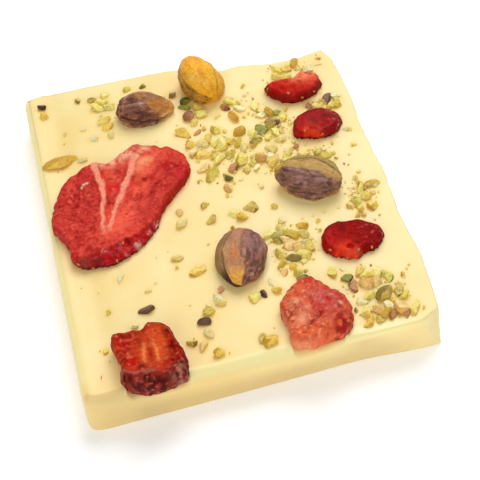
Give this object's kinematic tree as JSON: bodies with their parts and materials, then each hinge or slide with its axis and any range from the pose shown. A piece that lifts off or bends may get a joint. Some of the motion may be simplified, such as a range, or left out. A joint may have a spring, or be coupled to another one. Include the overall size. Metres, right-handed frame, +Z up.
{
  "type": "white chocolate bark",
  "caption": "Flat slab of white chocolate bark broken from a moulded sheet, topped with freeze-dried strawberry, whole pistachio kernels and chopped pistachio.",
  "frame": {"origin": "middle of the base of the whole piece, on the surface it lies on", "axes": "+X along the moulded front side, +Y to the broken back, +Z up through the topped face"},
  "size_m": [0.0732, 0.098, 0.0165],
  "materials": {
    "white_chocolate": "ivory white chocolate, satin with a soft sheen; smooth moulded sides, rough broken sides",
    "strawberry_flesh": "freeze-dried strawberry flesh, porous and matt",
    "strawberry_skin": "dark freeze-dried strawberry with wrinkled skin",
    "strawberry_dusty": "pale dusty freeze-dried strawberry",
    "kernel_brown": "whole pistachio kernel in its purple-brown skin over tan and olive",
    "kernel_gold": "whole pistachio kernel, golden and ridged"
  },
  "bodies": {
    "root": {"chocolate_slab": "white_chocolate", "strawberry_slice_left": "strawberry_flesh", "strawberry_chunk_front_left": "strawberry_skin", "strawberry_chunk_front_right": "strawberry_dusty", "strawberry_slice_right": "strawberry_skin", "strawberry_slice_back": "strawberry_flesh", "strawberry_slice_centre": "strawberry_flesh", "pistachio_front": "kernel_brown", "pistachio_back_left": "kernel_brown", "pistachio_back": "kernel_gold", "pistachio_right": "kernel_brown"}
  },
  "joints": []
}
